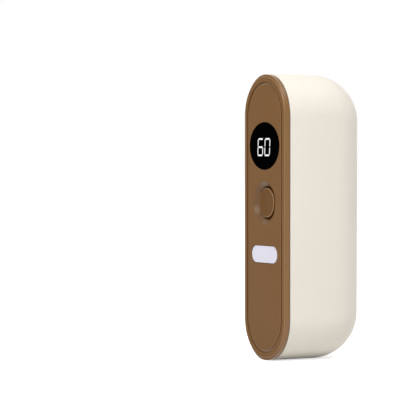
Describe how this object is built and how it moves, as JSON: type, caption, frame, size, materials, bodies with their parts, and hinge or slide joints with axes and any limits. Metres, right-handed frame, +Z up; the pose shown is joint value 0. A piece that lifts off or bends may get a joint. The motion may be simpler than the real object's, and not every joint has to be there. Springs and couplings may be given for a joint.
{
  "type": "rechargeable hand warmer",
  "caption": "Palm-sized rechargeable hand warmer: flat-sided pod with a rounded rear and an inlaid front panel that carries an oval digit display, a dished push button and a port pocket.",
  "frame": {"origin": "middle of the upright pod's box in plan, at its lowest point", "axes": "+Z up along the height, -Y out of the front panel, +X across the thickness to the right as the panel is read"},
  "size_m": [0.028, 0.0358, 0.1],
  "materials": {
    "cream_shell": "fine satin moulding, warm cream",
    "brown_trim": "satin milk-chocolate brown",
    "black_lens": "black window, smooth",
    "lit_digit": "white light window",
    "white_label": "plain white film",
    "clear_adhesive": "double-sided film",
    "black_moulding": "black moulding compound",
    "dark_ferrite": "ferrite",
    "ceramic_chip": "ceramic with tinned ends",
    "bare_steel": "plated steel",
    "green_board": "glass-epoxy with green mask",
    "grey_carrier": "natural moulding",
    "cell_can": "wrapped can",
    "bare_aluminium": "rolled sheet",
    "amber_film": "polyimide film",
    "red_lead": "soft insulation",
    "black_lead": "soft insulation",
    "white_lead": "soft insulation",
    "grey_foam": "closed-cell foam"
  },
  "bodies": {
    "pod": {"battery_cell": "cell_can", "battery_lead_negative": "black_lead", "battery_lead_positive": "red_lead", "board_capacitors": "ceramic_chip", "cell_carrier": "grey_carrier", "cell_insulator": "white_label", "cell_pad": "grey_foam", "charge_controller": "black_moulding", "digit_segments": "lit_digit", "display_lens": "black_lens", "display_module": "black_moulding", "frame_screws": "bare_steel", "front_bezel": "brown_trim", "front_panel": "brown_trim", "heat_spreader_left": "bare_aluminium", "heat_spreader_right": "bare_aluminium", "heater_film_left": "amber_film", "heater_film_right": "amber_film", "heater_leads_left": "white_lead", "heater_leads_right": "white_lead", "main_board": "green_board", "main_housing": "cream_shell", "negative_tab": "bare_steel", "panel_adhesive": "clear_adhesive", "port_label": "white_label", "positive_tab": "bare_steel", "power_inductor": "dark_ferrite", "switch_base": "black_moulding", "switch_cover": "bare_steel", "temperature_sensor": "black_moulding", "thermal_cutoff": "black_moulding", "usb_shell": "bare_steel", "usb_tongue": "black_moulding"},
    "button": {"power_button": "brown_trim"},
    "plunger": {"switch_plunger": "black_moulding"}
  },
  "joints": [
    {"name": "button_press", "type": "slide", "parent": "pod", "child": "button", "axis": [0, 1, 0], "range_m": [0, 0.0003], "stiffness_N_per_m": 6000},
    {"name": "plunger_press", "type": "slide", "parent": "pod", "child": "plunger", "axis": [0, 1, 0], "range_m": [0, 0.0003]}
  ],
  "couplings": [
    {"joint": "plunger_press", "follows": "button_press", "ratio": 1}
  ]
}
